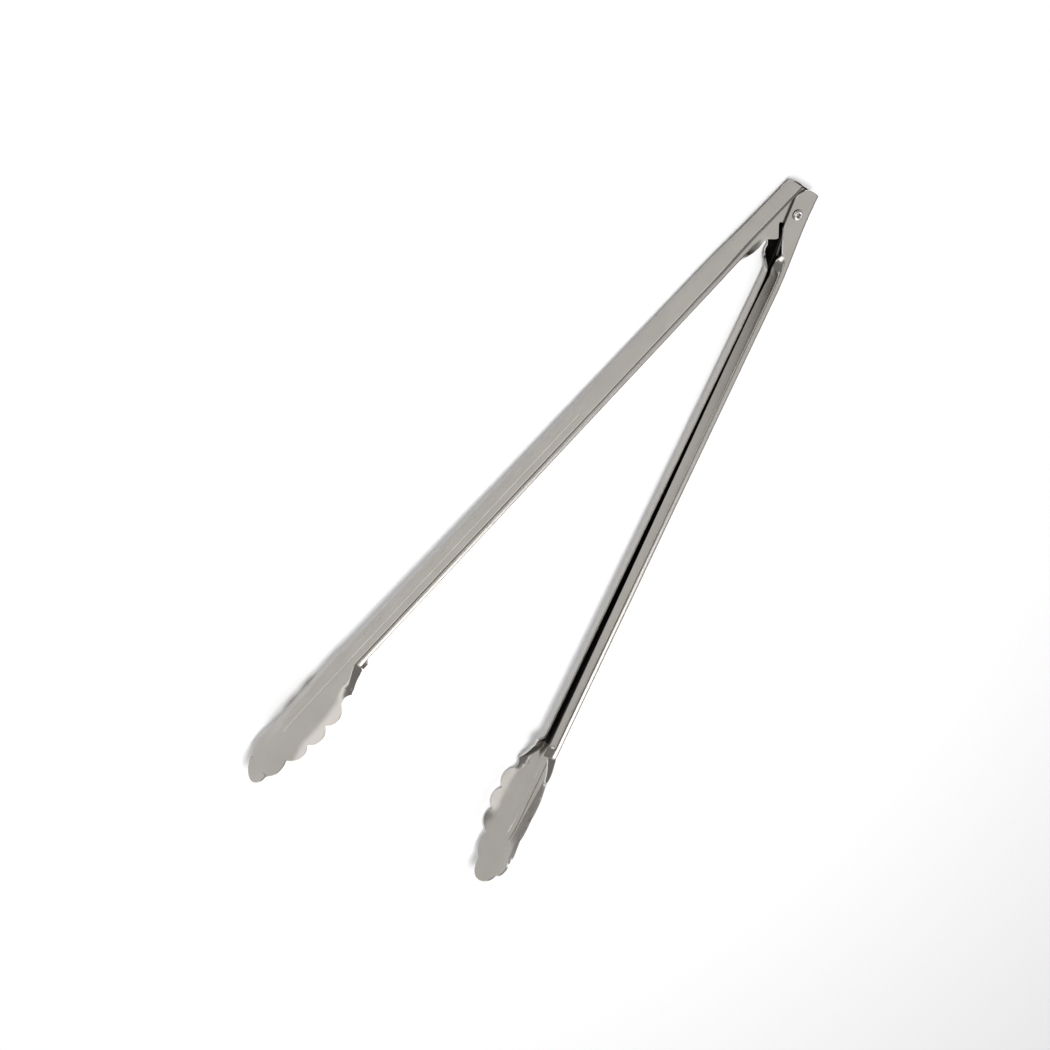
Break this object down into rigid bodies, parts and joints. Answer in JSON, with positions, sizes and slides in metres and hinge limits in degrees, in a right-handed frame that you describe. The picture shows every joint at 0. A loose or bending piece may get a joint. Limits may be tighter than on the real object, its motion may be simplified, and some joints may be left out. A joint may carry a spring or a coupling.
{
  "type": "spring loaded kitchen tongs",
  "caption": "Long spring loaded kitchen tongs: two folded steel channel arms with ribbed scalloped heads, hinged on a rivet and held open by a torsion spring.",
  "frame": {"origin": "middle of the open tongs in plan, at the height of their lowest point", "axes": "+Z along the rivet's axis, +Y from the heads to the rivet, +X towards the outer arm"},
  "size_m": [0.161, 0.3969, 0.0403],
  "materials": {
    "arm_steel": "bright rolled stainless steel sheet",
    "rivet_steel": "polished steel",
    "spring_wire": "drawn spring wire"
  },
  "bodies": {
    "outer_arm_body": {"outer_arm": "arm_steel", "pivot_rivet": "rivet_steel", "torsion_spring": "spring_wire"},
    "inner_arm_body": {"inner_arm": "arm_steel"}
  },
  "joints": [
    {"name": "arm_hinge", "type": "hinge", "parent": "outer_arm_body", "child": "inner_arm_body", "pos_m": [0, 0.18472, 0.02015], "axis": [0, 0, 1], "range_deg": [0, 22.8], "stiffness_Nm_per_rad": 0.49, "springref_deg": -40.11, "deforming": ["torsion_spring"]}
  ]
}
